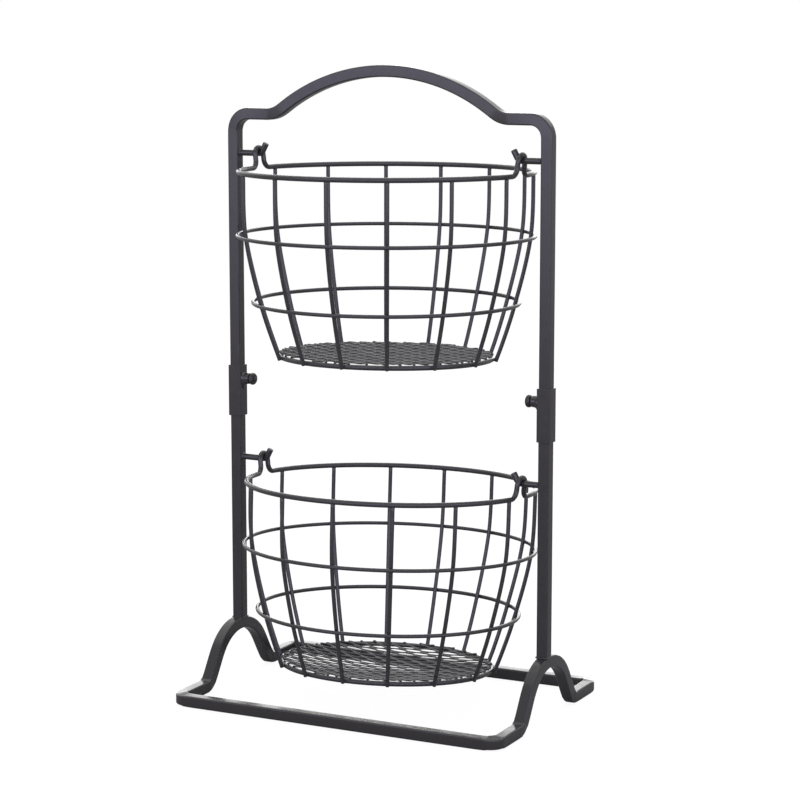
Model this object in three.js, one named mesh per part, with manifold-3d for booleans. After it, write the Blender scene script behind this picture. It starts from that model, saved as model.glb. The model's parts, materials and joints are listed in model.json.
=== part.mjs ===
// Two-tier basket stand: a square-bar frame in two halves, with two round wire baskets hung on hooks.
// Millimetres, +Z up. X runs across the posts and Y from front to back.
// The origin is on the table, under the middle of the frame.

import * as THREE from "three";
import { mergeVertices } from "three/addons/utils/BufferGeometryUtils.js";
import Module from "manifold-3d";

const wasm = await Module();
wasm.setup();

// Wires of a basket, by diameter
const rimWire = 4.4;
const ribWire = 3.2;
const ringWire = 3.0;
const floorWire = 4.4;

// Shape of a basket: radii to the centre lines, drops measured down from the rim's centre line
const rimRadius = 124.6;
const waistRadius = 122.7; // rib at the upper ring
const hipRadius = 109.9; // rib at the lower ring
const footRadius = 94.6; // rib at the floor ring
const upperRingDrop = 53.6;
const lowerRingDrop = 110.2;
const floorDrop = 154.6; // floor ring
const footPoke = 1.8; // end of a rib past the floor ring's centre line
const floorLean = 1.4; // degrees, floor lower at the back than at the front

// Ribs: spread evenly, turned from straight ahead and drawn together at the front and the back, in degrees
const ribCount = 14;
const ribShift = 5.0;
const ribBunch = 3.1;
const ribBunchAt = 7.5; // where they are closest, from the middle of a half

// Loops of the rim wire that hang on the hooks
const loopWidth = 13.0; // between the centre lines of its legs
const loopHeight = 17.6; // from the rim's centre line to the crown's
const loopFoot = 7.0; // bend where a leg meets the rim
const loopLean = 2.0; // how far the crown leans out
const upperLoopOffset = 0; // loops ahead of the basket's middle
const lowerLoopOffset = 5.6;
const upperBasketShift = 0; // basket and the bends of its hooks to the right of the frame's middle
const lowerBasketShift = 2.0;

// Expanded metal of the floors
const meshLongWay = 22.8;
const meshShortWay = 13.2;
const meshStrand = 2.2;
const meshThickness = 1.2;
const meshTurn = 88; // degrees, short way turned from X
const meshOverlap = 1.8; // how far the sheet lies on the floor ring, past its inside
const meshBorder = 1.6; // solid edge of the sheet

// Square bar of the frame
const barSide = 10;
const barEdge = 1.4; // flat along each long edge
const sideGap = 16.2; // between a basket and the inner face of a post

// Base
const baseDepth = 214; // front face to back face
const baseCorner = 10; // bends to the bar's centre line
const archHeight = 55; // top of an arch above the table
const archCrown = 44;
const archSlope = 57; // degrees, leg of an arch above the table
const archFoot = 9;
const baseTurn = 1.6; // degrees, base turned under the posts, as it is welded

// Heights of the tiers
const tableGap = 32.1; // table to the rib feet of the lower basket
const tierGap = 99.6; // lower hooks to the rib feet of the upper basket

// Handle
const shoulderRise = 33.9; // upper hooks to the shoulder's centre line
const shoulderFlat = 19.8; // straight length of a shoulder
const shoulderCorner = 14.5; // bend from post to shoulder
const handleRise = 37.8; // shoulder to the top of the handle, centre lines
const handleBlend = 24; // bend from shoulder to handle

// Sleeves that join the halves of the posts
const sleeveRise = 37; // lower hooks to the sleeve's lower end
const sleeveLength = 45;
const sleeveWall = 1.0;
const sleeveFit = 0.25; // clearance on each side of the bar
const legInsert = 31; // upper leg inside the sleeve

// Thumbscrews
const screwBelowTop = 11.9; // axis below the sleeve's top
const screwDiameter = 4.8;
const screwFit = 0.3; // clearance round the shank
const bossDiameter = 8.6;
const bossLength = 6.4;
const bossFoot = 3.2; // flare of the boss on the sleeve
const knobDiameter = 10.6;
const knobLength = 6.8;
const knobEdge = 1.2;
const knobGrip = 5.2; // shank inside the knob
const screwBackOff = 0.8; // tip clear of the leg, so that the upper half lifts out

// Hooks
const hookRod = 5.4;
const hookSlope = 62; // degrees, upturned end
const hookBend = 4.5;
const hookRise = 8.6; // middle of the cut end above the rod
const hookPlay = 0.5; // between the upturned end and the loop

// Hairlines
const seat = 0.3; // left at each weld and where one piece rests on another
const ringSeat = 0.5; // left between a round wire and what lies against it

// Fineness of the facets
const sag = 0.15; // chord below the arc in a bend
const samePlace = 0.01; // points closer than this are one
const longestRun = 15; // step along the rim and its like
const ribSteps = 6;
const ringSteps = 48;
const wireSides = 6;
const rodSides = 10;
const turnedSides = 16;

const degrees = THREE.MathUtils.degToRad;
const up = new THREE.Vector3(0, 0, 1);

// A path through given points: every step of a sweep ends on one of them.
class Route extends THREE.Curve {
  constructor(points) {
    super();
    this.points = points;
    this.runs = points.length - 1;
  }
  getPointAt(u, target = new THREE.Vector3()) {
    return target.copy(this.points[Math.round(u * this.runs)]);
  }
  getTangentAt(u, target = new THREE.Vector3()) {
    const here = Math.round(u * this.runs);
    const before = this.points[Math.max(here - 1, 0)];
    const at = this.points[here];
    const after = this.points[Math.min(here + 1, this.runs)];
    const arriving = at.clone().sub(before).normalize();
    return target.copy(after).sub(at).normalize().add(arriving).normalize();
  }
}

// The points of a bent bar: straight between its corners, and round at those with a radius.
function bent(corners) {
  const points = [];
  const add = (point) => {
    if (!points.length || points.at(-1).distanceTo(point) > samePlace) points.push(point);
  };
  corners.forEach(({ at, radius }, index) => {
    if (!radius) {
      add(at);
      return;
    }
    const back = corners[index - 1].at.clone().sub(at).normalize();
    const on = corners[index + 1].at.clone().sub(at).normalize();
    const turn = Math.PI - back.angleTo(on);
    const axis = on.clone().cross(back).normalize();
    const centre = back.clone().add(on).setLength(radius / Math.cos(turn / 2)).add(at);
    const arm = back.clone().multiplyScalar(radius * Math.tan(turn / 2)).add(at).sub(centre);
    const steps = Math.ceil(turn / (2 * Math.acos(1 - sag / radius)));
    for (let step = 0; step <= steps; step++) {
      add(arm.clone().applyAxisAngle(axis, (turn * step) / steps).add(centre));
    }
  });
  return points;
}

// The same points with every run cut to steps no longer than a given length.
function divided(points, longest) {
  const finer = [points[0]];
  points.slice(1).forEach((end, index) => {
    const start = points[index];
    const steps = Math.ceil(start.distanceTo(end) / longest);
    for (let step = 1; step <= steps; step++) {
      finer.push(start.clone().lerp(end, step / steps));
    }
  });
  return finer;
}

function sweep(section, points) {
  return new THREE.ExtrudeGeometry(section, {
    steps: points.length - 1,
    extrudePath: new Route(points),
  });
}

// A square with a flat along each edge.
function squareSection(side, edge) {
  const half = side / 2;
  const short = half - edge;
  const corners = [];
  for (let quarter = 0; quarter < 4; quarter++) {
    for (const corner of [new THREE.Vector2(half, short), new THREE.Vector2(short, half)]) {
      corners.push(corner.rotateAround(new THREE.Vector2(), (quarter * Math.PI) / 2));
    }
  }
  return new THREE.Shape(corners);
}

function roundSection(diameter, sides) {
  const corners = [];
  for (let side = 0; side < sides; side++) {
    const angle = (side / sides) * 2 * Math.PI;
    corners.push(new THREE.Vector2(Math.cos(angle), Math.sin(angle)).multiplyScalar(diameter / 2));
  }
  return new THREE.Shape(corners);
}

// Geometry to a solid that can be cut, and back.
function solid(geometry) {
  const bare = new THREE.BufferGeometry();
  const loose = geometry.index ? geometry.toNonIndexed() : geometry;
  bare.setAttribute("position", loose.getAttribute("position"));
  const merged = mergeVertices(bare);
  const vertProperties = merged.getAttribute("position").array;
  const triVerts = new Uint32Array(merged.index.array);
  return new wasm.Manifold(new wasm.Mesh({ numProp: 3, vertProperties, triVerts }));
}

function surface(cut) {
  const mesh = cut.getMesh();
  const geometry = new THREE.BufferGeometry();
  geometry.setAttribute("position", new THREE.BufferAttribute(mesh.vertProperties, 3));
  geometry.setIndex(new THREE.BufferAttribute(mesh.triVerts, 1));
  return geometry;
}

// A piece turned about X: its profile runs along X, with the radius across it.
function turned(profile) {
  const points = profile.map(([along, radius]) => new THREE.Vector2(radius, along));
  return new THREE.LatheGeometry(points, turnedSides).rotateZ(-Math.PI / 2);
}

function coated(name, geometry, colour, roughness, metalness) {
  const material = new THREE.MeshStandardMaterial({ color: colour, roughness, metalness });
  const mesh = new THREE.Mesh(geometry, material);
  mesh.name = name;
  return mesh;
}

const barPiece = (name, geometry) => coated(name, geometry, 0x3a3a3e, 0.5, 0.4);
const wirePiece = (name, geometry) => coated(name, geometry, 0x3e3d40, 0.48, 0.4);
const screwPiece = (name, geometry) => coated(name, geometry, 0x2f2f32, 0.42, 0.6);

// Side view of a rib, from the rim down to its foot: radius against height
const footDrop = floorDrop + footPoke;
const ribLine = new THREE.SplineCurve([
  new THREE.Vector2(rimRadius, -rimWire / 2 - seat),
  new THREE.Vector2(waistRadius, -upperRingDrop),
  new THREE.Vector2(hipRadius, -lowerRingDrop),
  new THREE.Vector2(footRadius, -floorDrop),
]);
const ribRuns = ribLine.points.length - 1;

// Radius of a round wire that lies against the ribs, at one of the points of the rib's line.
function radiusOnRibs(point, wire, outward) {
  const { x: radius } = ribLine.getPoint(point / ribRuns);
  const slope = ribLine.getTangent(point / ribRuns);
  const reach = (ribWire + wire) / 2 + ringSeat;
  return radius + (outward * reach) / Math.abs(slope.y);
}

const upperRingRadius = radiusOnRibs(1, ringWire, 1);
const lowerRingRadius = radiusOnRibs(2, ringWire, 1);
const floorRingRadius = radiusOnRibs(3, floorWire, -1);
const basketReach = Math.max(rimRadius + loopLean + rimWire / 2, upperRingRadius + ringWire / 2);

// Where the loops hold the rod, and where the frame stands round the baskets
const loopSeat = (rimWire + hookRod) / 2 + seat; // rod's centre to the crown's
const rodAboveRim = loopHeight - loopSeat;
const hangDepth = rodAboveRim + footDrop; // rod to the rib feet
const postInner = basketReach + sideGap;
const postX = postInner + barSide / 2;
const lowerRodZ = tableGap + hangDepth;
const upperRodZ = lowerRodZ + tierGap + hangDepth;
const shoulderZ = upperRodZ + shoulderRise;
const sleeveBottom = lowerRodZ + sleeveRise;
const sleeveTop = sleeveBottom + sleeveLength;
const legEnd = sleeveTop - legInsert;
const sleeveBore = barSide + 2 * sleeveFit;
const sleeveSide = sleeveBore + 2 * sleeveWall;

// Base: one bar bent into a loop, arched over the table under each post, with its ends butted at the back.
function baseBar() {
  const half = barSide / 2;
  const depth = baseDepth / 2 - half;
  const slope = degrees(archSlope);
  const apex = archHeight - half + archCrown * (1 / Math.cos(slope) - 1);
  const foot = (apex - half) / Math.tan(slope);
  const corner = (x, y, z, radius) => ({ at: new THREE.Vector3(x, y, z), radius });
  const sideOf = (side, front) => [
    corner(side * postX, -front * depth, half, baseCorner),
    corner(side * postX, -front * foot, half, archFoot),
    corner(side * postX, 0, apex, archCrown),
    corner(side * postX, front * foot, half, archFoot),
    corner(side * postX, front * depth, half, baseCorner),
  ];
  const route = [
    corner(-seat / 2, depth, half),
    ...sideOf(-1, -1),
    ...sideOf(1, 1),
    corner(seat / 2, depth, half),
  ];
  const loop = sweep(squareSection(barSide, barEdge), bent(route));
  return barPiece("base_bar", loop.rotateZ(degrees(baseTurn)));
}

// Handle: one bar bent into two legs, two shoulders and the arched grip.
function handleBar() {
  const blendX = postX - shoulderCorner - shoulderFlat; // where the shoulder ends
  const reach = (blendX ** 2 + handleRise ** 2) / (2 * handleRise); // grip radius and blend together
  const gripRadius = reach - handleBlend;
  const slope = Math.asin(blendX / reach);
  const apex = shoulderZ + handleRise + gripRadius * (1 / Math.cos(slope) - 1);
  const blendCorner = blendX - handleBlend * Math.tan(slope / 2);
  const corner = (x, z, radius) => ({ at: new THREE.Vector3(x, 0, z), radius });
  const route = [
    corner(-postX, legEnd),
    corner(-postX, shoulderZ, shoulderCorner),
    corner(-blendCorner, shoulderZ, handleBlend),
    corner(0, apex, gripRadius),
    corner(blendCorner, shoulderZ, handleBlend),
    corner(postX, shoulderZ, shoulderCorner),
    corner(postX, legEnd),
  ];
  return barPiece("handle_bar", sweep(squareSection(barSide, barEdge), bent(route)));
}

function lowerPost(side) {
  const ends = [archHeight + seat, legEnd - seat].map((z) => new THREE.Vector3(postX, 0, z));
  return barPiece(`lower_post_${side}`, sweep(squareSection(barSide, barEdge), ends));
}

// Square tube welded to the lower post, with a hole for the screw in its inner wall.
function sleeve(side) {
  const section = squareSection(sleeveSide, barEdge + sleeveWall / 2);
  section.holes.push(squareSection(sleeveBore, barEdge));
  const tube = new THREE.ExtrudeGeometry(section, { depth: sleeveLength, bevelEnabled: false });
  tube.translate(postX, 0, sleeveBottom);
  const drill = turned([
    [-sleeveSide, 0],
    [-sleeveSide, screwDiameter / 2 + screwFit],
    [0, screwDiameter / 2 + screwFit],
    [0, 0],
  ]);
  drill.translate(postX, 0, sleeveTop - screwBelowTop);
  return barPiece(`sleeve_${side}`, surface(solid(tube).subtract(solid(drill))));
}

// Threaded boss, clamping screw and its knob, along X from the sleeve towards the basket.
const bossStart = postX - sleeveSide / 2 - seat;
const knobStart = bossStart - bossLength - seat;
const screwZ = sleeveTop - screwBelowTop;

function screwBoss(side) {
  const bore = screwDiameter / 2 + screwFit;
  const profile = [
    [-bossLength, bore],
    [-bossLength, bossDiameter / 2],
    [-bossFoot, bossDiameter / 2],
    [0, bossDiameter / 2 + bossFoot / 2],
    [0, bore],
    [-bossLength, bore],
  ];
  return barPiece(`screw_boss_${side}`, turned(profile).translate(bossStart, 0, screwZ));
}

function screwShank(side) {
  const tip = postInner - screwBackOff;
  const end = knobStart - knobGrip;
  const radius = screwDiameter / 2;
  const profile = [
    [end - tip, 0],
    [end - tip, radius],
    [-seat, radius],
    [0, radius - seat],
    [0, 0],
  ];
  return screwPiece(`screw_shank_${side}`, turned(profile).translate(tip, 0, screwZ));
}

function screwKnob(side) {
  const radius = knobDiameter / 2;
  const bore = screwDiameter / 2 + screwFit;
  const profile = [
    [-knobLength, 0],
    [-knobLength, radius - knobEdge],
    [-knobLength + knobEdge, radius],
    [-knobEdge, radius],
    [0, radius - knobEdge],
    [0, bore],
    [-knobGrip - seat, bore],
    [-knobGrip - seat, 0],
  ];
  return screwPiece(`screw_knob_${side}`, turned(profile).translate(knobStart, 0, screwZ));
}

// Hook: a rod that stands out of the post through the loop and turns up behind it.
function hook(tier, side, rodZ, shift) {
  const slope = degrees(hookSlope);
  const clear = (rimWire + hookRod) / 2 + hookPlay;
  const loopX = rimRadius + loopLean + shift;
  const bendX = loopX - (clear - loopSeat * Math.cos(slope)) / Math.sin(slope);
  const route = [
    { at: new THREE.Vector3(postInner - seat, 0, rodZ) },
    { at: new THREE.Vector3(bendX, 0, rodZ), radius: hookBend },
    { at: new THREE.Vector3(bendX - hookRise / Math.tan(slope), 0, rodZ + hookRise) },
  ];
  return barPiece(`${tier}_hook_${side}`, sweep(roundSection(hookRod, rodSides), bent(route)));
}

// Rim: one wire round the mouth, bent up into a loop at each side, with its ends butted at the back.
function rimGeometry(loopOffset) {
  const lap = 2 * Math.PI * rimRadius;
  const ahead = rimRadius * Math.asin(loopOffset / rimRadius);
  const corner = (along, z, radius) => ({ at: new THREE.Vector3(along, 0, z), radius });
  const loopAt = (along) => [
    corner(along - loopWidth / 2, 0, loopFoot),
    corner(along - loopWidth / 2, loopHeight, loopWidth / 2),
    corner(along + loopWidth / 2, loopHeight, loopWidth / 2),
    corner(along + loopWidth / 2, 0, loopFoot),
  ];
  const unrolled = bent([
    corner(lap / 4 + seat / 2, 0),
    ...loopAt(lap / 2 + ahead),
    ...loopAt(lap - ahead),
    corner((lap * 5) / 4 - seat / 2, 0),
  ]);
  const rolled = divided(unrolled, longestRun).map(({ x: along, z }) => {
    const radius = rimRadius + (loopLean * z) / loopHeight;
    return new THREE.Vector3(radius, 0, z).applyAxisAngle(up, along / rimRadius);
  });
  return sweep(roundSection(rimWire, wireSides), rolled);
}

function ringGeometry(radius, wire, drop) {
  return new THREE.TorusGeometry(radius, wire / 2, wireSides, ringSteps).translate(0, 0, -drop);
}

function ribGeometry() {
  const line = ribLine.getPoints(ribSteps);
  const slope = ribLine.getTangent(1);
  line.push(line.at(-1).clone().addScaledVector(slope, -footPoke / slope.y));
  const route = line.map(({ x, y }) => new THREE.Vector3(x, 0, y));
  return sweep(roundSection(ribWire, wireSides), route);
}

// Floor: a round sheet of expanded metal that lies on the floor ring.
function floorGeometry() {
  const radius = floorRingRadius - floorWire / 2 + meshOverlap;
  const disc = (size, height) =>
    solid(new THREE.CylinderGeometry(size, size, height, ringSteps).rotateX(Math.PI / 2));
  const across = meshShortWay / 2;
  const along = meshLongWay / 2;
  const toStrand = (across * along) / Math.hypot(across, along);
  const open = 1 - meshStrand / 2 / toStrand; // what the strands leave of a cell
  const rows = Math.ceil(radius / along);
  const columns = Math.ceil(radius / meshShortWay);
  const cells = [];
  for (let row = -rows; row <= rows; row++) {
    for (let column = -columns; column <= columns; column++) {
      const centre = new THREE.Vector2((column + (row & 1) / 2) * meshShortWay, row * along);
      if (centre.length() > radius - meshBorder) continue;
      const corners = [
        new THREE.Vector2(across * open, 0),
        new THREE.Vector2(0, along * open),
        new THREE.Vector2(-across * open, 0),
        new THREE.Vector2(0, -along * open),
      ];
      cells.push(new THREE.Shape(corners.map((corner) => corner.add(centre))));
    }
  }
  const depth = 2 * meshThickness;
  const holes = new THREE.ExtrudeGeometry(cells, { depth, bevelEnabled: false });
  holes.translate(0, 0, -depth / 2);
  const inside = disc(radius - meshBorder, 2 * depth);
  const sheet = disc(radius, meshThickness).subtract(solid(holes).intersect(inside));
  const lift = floorWire / 2 + seat + meshThickness / 2;
  return surface(sheet).rotateZ(degrees(meshTurn)).translate(0, 0, lift - floorDrop);
}

// Angle of a rib: half of them go round the front, and the rest are the same half turned to the back.
function ribAngle(index) {
  const half = ribCount / 2;
  const step = (index % half) - (half - 1) / 2;
  const even = (step * 2 * Math.PI) / ribCount;
  const behind = index < half ? -Math.PI / 2 : Math.PI / 2;
  const drawn = Math.sin(2 * (even - degrees(ribBunchAt)));
  return behind + degrees(ribShift) + even - degrees(ribBunch) * drawn;
}

// The floor's lean, which the ribs take up between the lower ring and the floor.
function leaning(geometry) {
  const place = geometry.getAttribute("position");
  const span = floorDrop - 2 * floorWire - lowerRingDrop;
  for (let vertex = 0; vertex < place.count; vertex++) {
    const z = place.getZ(vertex);
    const share = THREE.MathUtils.clamp((-z - lowerRingDrop) / span, 0, 1);
    const behind = floorRingRadius + place.getY(vertex);
    place.setZ(vertex, z - share * behind * Math.tan(degrees(floorLean)));
  }
  return geometry;
}

// Where a group of pieces balances, from their volumes.
function balancePoint(group) {
  const sum = new THREE.Vector3();
  let volume = 0;
  group.updateMatrixWorld(true);
  group.traverse((piece) => {
    if (!piece.isMesh) return;
    const geometry = piece.geometry.index ? piece.geometry.toNonIndexed() : piece.geometry;
    const place = geometry.getAttribute("position");
    for (let vertex = 0; vertex < place.count; vertex += 3) {
      const [a, b, c] = [0, 1, 2].map((step) =>
        new THREE.Vector3().fromBufferAttribute(place, vertex + step).applyMatrix4(piece.matrixWorld),
      );
      const wedge = a.dot(b.clone().cross(c)) / 6;
      volume += wedge;
      sum.addScaledVector(a.add(b).add(c), wedge / 4);
    }
  });
  return sum.divideScalar(volume);
}

// A basket on its hooks. Its group turns about the rods, and it hangs with its weight under them.
function basket(tier, rodZ, loopOffset, shift) {
  const wires = new THREE.Group();
  wires.position.set(0, loopOffset, -rodAboveRim);
  const ring = (name, radius, wire, drop) =>
    wirePiece(`${tier}_basket_${name}`, leaning(ringGeometry(radius, wire, drop)));
  wires.add(
    wirePiece(`${tier}_basket_rim`, rimGeometry(loopOffset)),
    ring("upper_ring", upperRingRadius, ringWire, upperRingDrop),
    ring("lower_ring", lowerRingRadius, ringWire, lowerRingDrop),
    ring("floor_ring", floorRingRadius, floorWire, floorDrop),
    wirePiece(`${tier}_basket_floor_mesh`, leaning(floorGeometry())),
  );
  for (let index = 0; index < ribCount; index++) {
    const rib = leaning(ribGeometry().rotateZ(ribAngle(index)));
    wires.add(wirePiece(`${tier}_basket_rib_${String(index + 1).padStart(2, "0")}`, rib));
  }
  const hung = new THREE.Group();
  hung.add(wires);
  const balance = balancePoint(hung);
  hung.rotation.x = -Math.atan2(balance.y, -balance.z);
  hung.position.set(shift, 0, rodZ);
  return hung;
}

// One side of the frame, made for the right post and turned round for the left one.
function frameSide(side, angle) {
  const way = Math.cos(angle);
  const group = new THREE.Group();
  group.add(
    lowerPost(side),
    sleeve(side),
    screwBoss(side),
    screwShank(side),
    screwKnob(side),
    hook("lower", side, lowerRodZ, way * lowerBasketShift),
    hook("upper", side, upperRodZ, way * upperBasketShift),
  );
  group.rotation.z = angle;
  return group;
}

const stand = new THREE.Group();
stand.add(
  baseBar(),
  handleBar(),
  frameSide("right", 0),
  frameSide("left", Math.PI),
  basket("lower", lowerRodZ, lowerLoopOffset, lowerBasketShift),
  basket("upper", upperRodZ, upperLoopOffset, upperBasketShift),
);

export default stand;
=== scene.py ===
"""Looks of a two-tier basket stand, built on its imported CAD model.

Metres, +Z up: X runs across the posts and Y from front to back, as in the CAD model.
"""

import json
import math

import bpy
from bpy.props import FloatProperty, FloatVectorProperty, IntProperty, PointerProperty
from mathutils import Matrix, Vector, noise


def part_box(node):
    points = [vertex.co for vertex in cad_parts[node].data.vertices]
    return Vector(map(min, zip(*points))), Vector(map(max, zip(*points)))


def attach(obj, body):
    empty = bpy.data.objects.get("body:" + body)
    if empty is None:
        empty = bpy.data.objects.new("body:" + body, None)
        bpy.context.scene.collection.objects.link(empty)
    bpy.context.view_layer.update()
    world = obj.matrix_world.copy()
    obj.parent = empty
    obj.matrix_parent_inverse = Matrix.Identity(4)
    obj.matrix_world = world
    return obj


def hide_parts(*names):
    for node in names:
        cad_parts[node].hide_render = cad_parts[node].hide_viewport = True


bl_info = {
    "name": "Two-tier basket stand",
    "version": (1, 0, 0),
    "blender": (4, 5, 0),
    "location": "View3D > Sidebar > Basket stand",
    "description": "Builds the bars, baskets, welds and finishes of a two-tier basket stand",
    "category": "Add Mesh",
}

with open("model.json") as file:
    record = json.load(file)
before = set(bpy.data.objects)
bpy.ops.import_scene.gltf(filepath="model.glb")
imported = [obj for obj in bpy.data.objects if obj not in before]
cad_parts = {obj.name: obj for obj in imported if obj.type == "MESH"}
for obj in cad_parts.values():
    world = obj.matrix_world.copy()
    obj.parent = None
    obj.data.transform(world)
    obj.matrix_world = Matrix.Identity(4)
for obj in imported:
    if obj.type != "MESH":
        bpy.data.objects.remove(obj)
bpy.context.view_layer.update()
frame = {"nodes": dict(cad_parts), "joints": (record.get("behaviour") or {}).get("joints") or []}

SIDES = {"left": -1, "right": 1}
TIERS = {"lower": "base", "upper": "upper_frame"}
UP = Vector((0, 0, 1))
FRONT = Vector((0, -1, 0))
RIGHT = Vector((1, 0, 0))
SAME_PLACE = 1e-6  # points closer than this are one
WHITE = (1, 1, 1, 1)

# Steps along a bend and along a straight run
BASE_STEPS = (0.001, 0.005)
HANDLE_STEPS = (0.0015, 0.006)
HOOK_STEPS = (0.0008, 0.003)
RIM_STEPS = (0.0012, 0.005)
BEAD_STEP = 0.0012
RIB_STEPS = 36
STRAND_STEPS = 8  # in half a cell
THREAD_STEPS = 4  # in a turn of the thread
KNURL_STEPS = 4  # in a ridge of a knob

# Steps in a quarter of a rounding
BAR_EDGE_STEPS = 4
BEAD_EDGE_STEPS = 3
KNOB_ROUND_STEPS = 6
HOOK_WELD_STEPS = 5

# Sides of round pieces
ROD_SIDES = 20
RIM_SIDES = 14
WIRE_SIDES = 12
BEAD_SIDES = 10
SHANK_SIDES = 16
TURNED_SIDES = 24
RING_SIDES = 144
FLOOR_SIDES = 96

# Turned profiles: share of the length or depth, and share of the radius
BOSS = ((0, 1), (0.1, 0.92), (0.25, 0.8), (0.45, 0.82), (0.8, 0.82), (0.96, 0.7954), (1, 0.7052))
KNOB_TIP = ((0, 0.04), (0.05, 0.12), (0.25, 0.2), (0.6, 0.26), (1, 0.3), (0.9, 0.44))
KNOB_BACK = 0.5

# Skin of the welds: length and height of its waves
WELD_WAVE = 0.002
WELD_UNEVEN = 0.0002
BOSS_WAVE = 0.003
BOSS_UNEVEN = 0.0006
NUGGET_WAVE = 4  # length of a wave, of its height
END_UNEVEN = 0.2  # height of a wave, of the weld's radius

# Forms of the welds: stretch along three axes, swelling of a run, and how far a boss's weld hangs
RIM_WELD = (1, 1.2, 0.7)
RING_WELD = (0.5, 1, 1)
END_WELD = (1, 1, 0.7)
BEAD_SWELL = 0.3
BEAD_NORMAL = UP + RIGHT * 0.3  # along no part of a run
BOSS_SAG = 0.6
HOOK_WELD_END = 0.9  # inside the rod, of its radius

STRAND_EDGE = 0.18  # rounding of a strand's edges, of its thickness

# Without a seed the pushes that make the welds uneven would start from the clock
WELD_SEED = 1
noise.seed_set(WELD_SEED)


def linear(code):
    """A linear colour from its sRGB hex code."""
    channels = (int(code[place:place + 2], 16) / 255 for place in (0, 2, 4))
    straight = (c / 12.92 if c <= 0.04045 else ((c + 0.055) / 1.055) ** 2.4 for c in channels)
    return (*straight, 1.0)


def length(name, description, millimetres):
    """A size, kept in metres."""
    return FloatProperty(
        name=name, description=description, default=millimetres / 1000, unit="LENGTH", precision=5
    )


def angle(name, description, degrees):
    """An angle, kept in radians."""
    return FloatProperty(
        name=name, description=description, default=math.radians(degrees), unit="ROTATION"
    )


def share(name, description, value):
    """A plain number without a unit."""
    return FloatProperty(name=name, description=description, default=value, subtype="FACTOR")


def count(name, description, value):
    """A whole number."""
    return IntProperty(name=name, description=description, default=value, subtype="UNSIGNED")


def colour(name, description, code):
    """A colour, kept as linear light."""
    return FloatVectorProperty(
        name=name, description=description, default=linear(code), size=4, subtype="COLOR"
    )


class FrameSizes(bpy.types.PropertyGroup):
    """Sizes of the square bars, sleeves and hooks that the CAD boxes don't give."""

    bar_edge: length("Bar edge", "Radius along the edges of the square bar", 1.3)
    base_depth: length("Base depth", "Base from its front face to its back face", 214)
    base_turn: angle("Base turn", "Turn of the base under the posts", 1.6)
    base_corner: length("Base corner", "Bend at the corners of the base, to the middle of the bar", 8)
    arch_height: length("Arch height", "Top of an arch above the table", 55)
    arch_crown: length("Arch crown", "Bend at the top of an arch, to the middle of the bar", 44)
    arch_slope: angle("Arch slope", "Leg of an arch above the table", 57)
    arch_foot: length("Arch foot", "Bend where an arch meets the rail", 9)
    shoulder_corner: length("Shoulder corner", "Bend from a post to its shoulder", 14.5)
    shoulder_flat: length("Shoulder flat", "Straight length of a shoulder", 19.8)
    handle_rise: length("Handle rise", "Shoulder to the top of the handle", 37.8)
    handle_blend: length("Handle blend", "Bend from a shoulder to the handle", 24)
    bend_bulge: share("Bend bulge", "How much a bar swells inside a bend and thins outside it", 0.3)
    sleeve_wall: length("Sleeve wall", "Wall of a sleeve", 1.0)
    hook_rod: length("Hook rod", "Diameter of a hook", 5.4)
    hook_slope: angle("Hook slope", "Upturned end of a hook above the level", 62)
    hook_bend: length("Hook bend", "Bend of a hook, to the middle of the rod", 4.5)
    hook_rise: length("Hook rise", "Middle of a hook's cut end above the rod", 8.6)
    cut_edge: length("Cut edge", "Round of a cut end", 0.4)
    hook_weld: length("Hook weld", "Leg of the weld round a hook", 1.3)
    post_weld: length("Post weld", "Radius of the weld round the foot of a post", 0.7)


class BasketSizes(bpy.types.PropertyGroup):
    """Sizes of the wires of a basket."""

    rim_wire: length("Rim wire", "Diameter of the rim's wire", 4.4)
    rib_wire: length("Rib wire", "Diameter of a rib", 3.5)
    ring_wire: length("Ring wire", "Diameter of the two rings", 3.3)
    floor_wire: length("Floor wire", "Diameter of the floor ring", 4.4)
    rim_radius: length("Rim radius", "Radius of the rim", 124.6)
    waist_radius: length("Waist radius", "Radius of the ribs at the upper ring", 122.7)
    hip_radius: length("Hip radius", "Radius of the ribs at the lower ring", 109.9)
    foot_radius: length("Foot radius", "Radius of the ribs at the floor ring", 94.6)
    upper_drop: length("Upper drop", "Rim to the upper ring", 53.6)
    lower_drop: length("Lower drop", "Rim to the lower ring", 110.2)
    floor_drop: length("Floor drop", "Rim to the floor ring", 154.6)
    floor_lean: angle("Floor lean", "Floor lower at the back than at the front", 1.4)
    foot_poke: length("Foot poke", "End of a rib past the floor ring", 1.8)
    rib_count: count("Ribs", "Number of ribs", 14)
    rib_shift: angle("Rib shift", "Turn of the ribs from straight ahead", 5.0)
    rib_bunch: angle("Rib bunch", "How far the ribs are drawn together at the front and the back", 3.1)
    rib_bunch_at: angle("Rib bunch at", "Where the ribs are closest, from the middle of a half", 7.5)
    loop_width: length("Loop width", "Between the legs of a loop", 13)
    loop_foot: length("Loop foot", "Bend where a loop meets the rim", 7)
    loop_lean: length("Loop lean", "How far the crown of a loop leans out", 2)
    weld_bite: length("Weld bite", "How far crossing wires are pressed into each other", 0.3)
    nugget: length("Nugget", "Radius of a weld between two wires", 1.7)
    uneven: length("Uneven", "Unevenness of a weld's skin", 0.3)


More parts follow.
